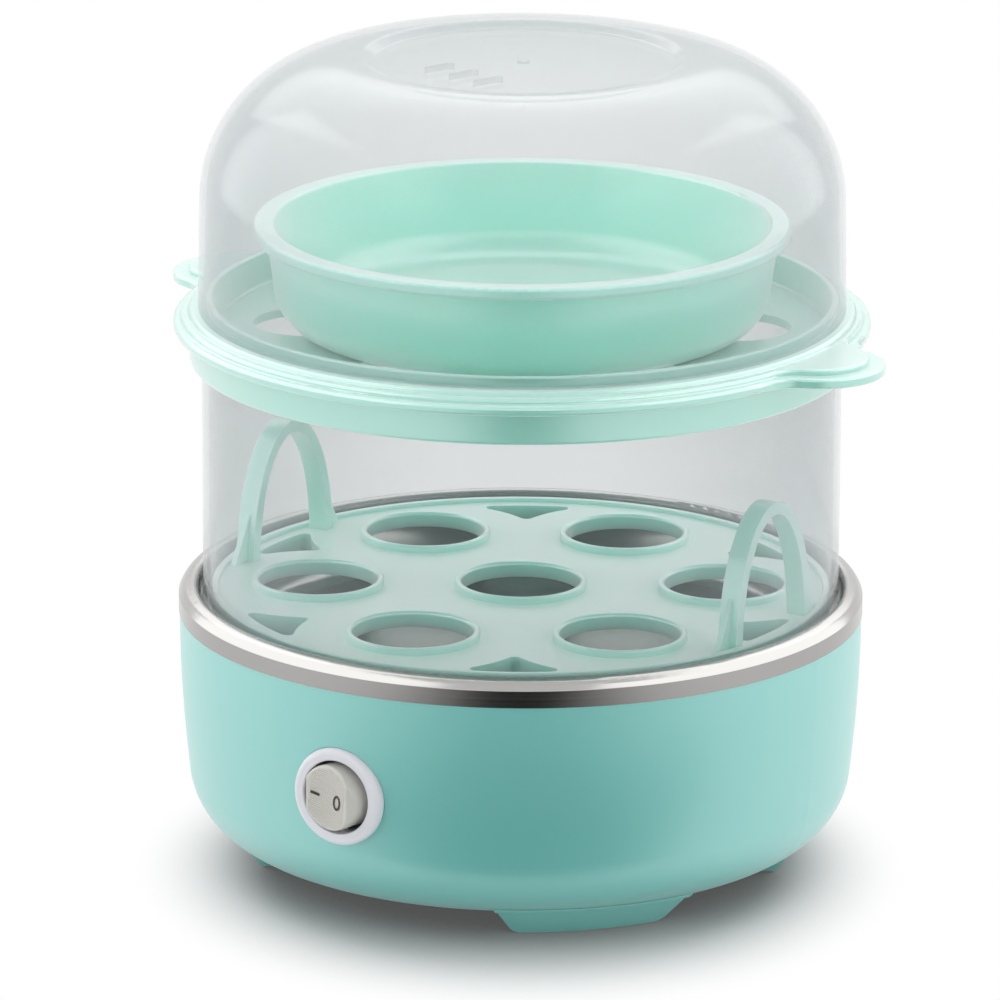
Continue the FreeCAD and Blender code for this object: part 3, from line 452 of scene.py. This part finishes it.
def add_plane(name, low, high, height):
    """Flat stage piece between two corners."""
    mesh = bpy.data.meshes.new(name)
    (x0, y0), (x1, y1) = low, high
    corners = [(x0, y0, height), (x1, y0, height), (x1, y1, height), (x0, y1, height)]
    mesh.from_pydata(corners, [], [(0, 1, 2, 3)])
    plane = bpy.data.objects.new(name, mesh)
    scene.collection.objects.link(plane)
    return plane


def near_object(tree, forward, squeeze, clear_from, clear_to, most):
    """Most round a point in front of the object's axis, 0 beyond clear_to, and narrower from side to side."""
    turn = math.radians(VIEW_AZIMUTH)
    front = Matrix.Rotation(turn, 3, "Z") @ Vector((0, -forward, 0))
    local = add_node(tree, "ShaderNodeMapping",
                     {"Location": front, "Rotation": (0, 0, turn), "Scale": (squeeze, 1, 1)},
                     {"Vector": place_coordinates(tree)}, vector_type="TEXTURE")
    return soft_step(tree, length(tree, local.outputs["Vector"]), clear_from, clear_to, most, 0)


def add_floor(half):
    """White floor that keeps the object's shadow, with painted shade from ambient occlusion darkening it
    further near the object, and turns plain white away from it.
    """
    floor = add_plane("floor", (-half, -half), (half, half), 0)
    material, tree, shader = new_material("floor")
    fill(tree, shader, {"Base Color": FLOOR_GREY, "Roughness": 1, "Specular IOR Level": 0})
    # Painted shade: ambient occlusion colours the floor darker close to the object, and the near_object mask
    # sets where that shade and the lamps' shadow show before the floor turns plain white.
    shade = add_node(tree, "ShaderNodeAmbientOcclusion", {"Distance": SHADE_REACH})
    shaded = add_node(tree, "ShaderNodeBsdfDiffuse", links={"Color": shade.outputs["Color"]})
    white = add_node(tree, "ShaderNodeEmission")
    near = near_object(tree, forward=0.014, squeeze=0.86, clear_from=0.068, clear_to=0.111, most=0.92)
    seen = mix_shaders(tree, near, white.outputs["Emission"], shaded.outputs["BSDF"])
    show(tree, seen_or_lit(tree, seen, shader.outputs["BSDF"]))
    floor.data.materials.append(material)


def add_painted_reflection_card(near, far, dark_to, pale_from):
    """Card on the floor in front, dark along its middle and glowing white at its sides, which shows in
    reflections only: a painted reflection in the metal and glossy plastics.
    """
    card = add_plane("painted_reflection_card", (-pale_from, -far), (pale_from, -near), CARD_HEIGHT)
    card.rotation_euler = (0, 0, math.radians(VIEW_AZIMUTH))
    material, tree, _ = new_material("painted_reflection_card")
    aside = calculate(tree, "ABSOLUTE", separate(tree, place_coordinates(tree))["X"])
    glow = soft_step(tree, aside, dark_to, pale_from, 0, 1)
    show(tree, add_node(tree, "ShaderNodeEmission", links={"Strength": glow}).outputs["Emission"])
    card.data.materials.append(material)
    card.visible_camera = False
    card.visible_diffuse = False
    card.visible_transmission = False
    card.visible_shadow = False


def add_softbox(name, azimuth, elevation, distance, width, height, power):
    """Area lamp that faces the middle of the object."""
    data = bpy.data.lights.new(name, "AREA")
    data.shape = "RECTANGLE"
    data.size = width
    data.size_y = height
    data.energy = power
    lamp = bpy.data.objects.new(name, data)
    back = direction(azimuth, elevation)
    lamp.location = MIDDLE + back * distance
    lamp.rotation_mode = "QUATERNION"
    lamp.rotation_quaternion = (-back).to_track_quat("-Z", "Y")
    scene.collection.objects.link(lamp)


add_world(level=0.18)
add_floor(half=6)
add_painted_reflection_card(near=0.098, far=1.5, dark_to=0.03, pale_from=0.24)
for name, side in (("softbox_left", -86), ("softbox_right", 86)):
    add_softbox(name, VIEW_AZIMUTH + side, elevation=18, distance=1.3, width=3.0, height=2.0, power=24)
add_softbox("softbox_front", VIEW_AZIMUTH, elevation=14, distance=1.6, width=1.8, height=0.9, power=2.5)
add_softbox("softbox_top", VIEW_AZIMUTH + 180, elevation=59, distance=1.3, width=2.1, height=2.1, power=16)

scene.view_settings.view_transform = "Standard"
